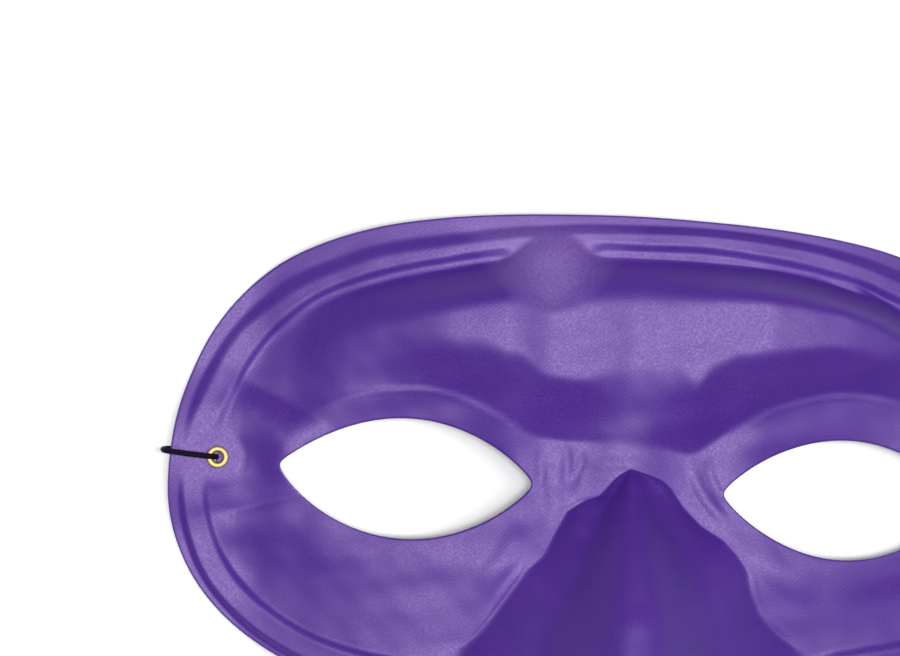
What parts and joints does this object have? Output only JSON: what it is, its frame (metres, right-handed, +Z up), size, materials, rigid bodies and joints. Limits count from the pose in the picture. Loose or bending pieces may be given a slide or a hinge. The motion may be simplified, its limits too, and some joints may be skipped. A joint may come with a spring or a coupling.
{
  "type": "domino mask",
  "caption": "Satin-covered moulded half mask with almond eye holes, a nose, brass eyelets and a thin black elastic, lying on its back.",
  "frame": {"origin": "on the table, below the middle of the mask's plan without its elastic", "axes": "+X across the face towards the picture's right, +Y from the nose's tip to the forehead, +Z up out of the face as the mask lies on its back"},
  "size_m": [0.1774, 0.098, 0.0406],
  "materials": {
    "satin": "satin",
    "brass": "polished",
    "elastic": "matte"
  },
  "bodies": {
    "root": {"mask_shell": "satin", "eyelet_left": "brass", "eyelet_right": "brass", "elastic": "elastic"}
  },
  "joints": []
}
